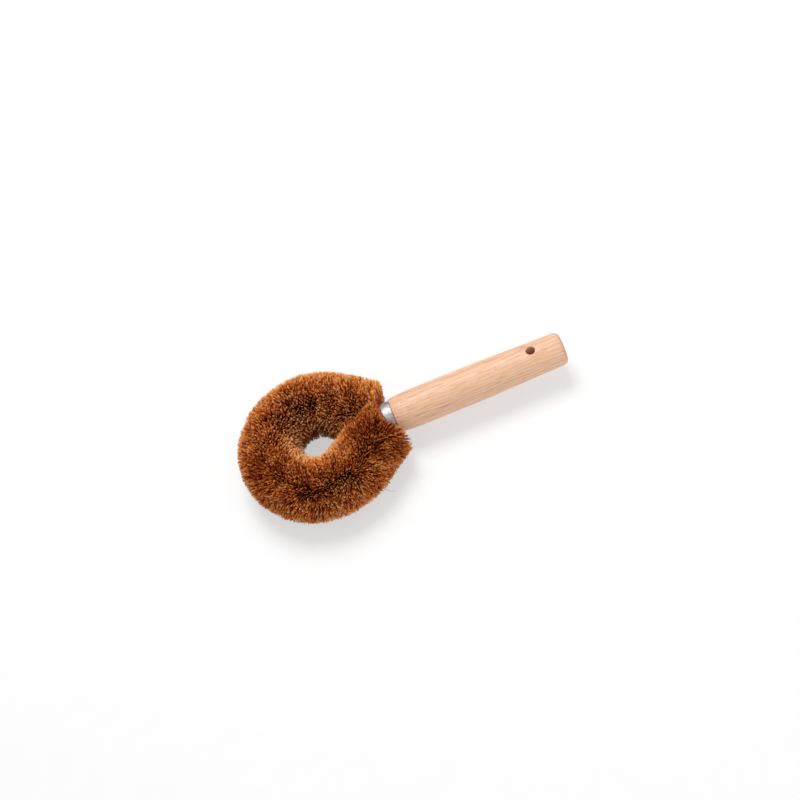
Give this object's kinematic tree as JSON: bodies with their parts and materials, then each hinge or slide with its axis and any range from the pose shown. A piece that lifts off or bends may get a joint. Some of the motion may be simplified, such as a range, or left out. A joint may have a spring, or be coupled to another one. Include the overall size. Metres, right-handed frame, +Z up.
{
  "type": "scrub brush",
  "caption": "Hand scrub brush for pots and grills: a thick ring of stiff palm fibre on a twisted wire core, held by a metal ferrule on a turned wooden handle with a hanging hole.",
  "frame": {"origin": "on the surface that the ring lies on, below the middle of the whole brush", "axes": "+X along the handle from the ring to the handle's rear face, +Y across the handle in the plane of the ring, +Z up, square to the ring"},
  "size_m": [0.2503, 0.1187, 0.0494],
  "materials": {
    "handle_wood": "pale fine-sanded hardwood, nearly matt, with short brown flecks along the grain",
    "ferrule_metal": "thin bright plated sheet with soft drawing marks",
    "core_wire": "galvanised wire, dull",
    "palm_fibre": "coarse brown palm fibre, trimmed, paler at the tips"
  },
  "bodies": {
    "root": {"handle": "handle_wood", "ferrule": "ferrule_metal", "core_wire_strand_a": "core_wire", "core_wire_strand_b": "core_wire", "fibre_slice_01": "palm_fibre", "fibre_slice_02": "palm_fibre", "fibre_slice_03": "palm_fibre", "fibre_slice_04": "palm_fibre", "fibre_slice_05": "palm_fibre", "fibre_slice_06": "palm_fibre", "fibre_slice_07": "palm_fibre", "fibre_slice_08": "palm_fibre", "fibre_slice_09": "palm_fibre", "fibre_slice_10": "palm_fibre", "fibre_slice_11": "palm_fibre", "fibre_slice_12": "palm_fibre", "fibre_slice_13": "palm_fibre", "fibre_slice_14": "palm_fibre", "fibre_slice_15": "palm_fibre", "fibre_slice_16": "palm_fibre"}
  },
  "joints": []
}
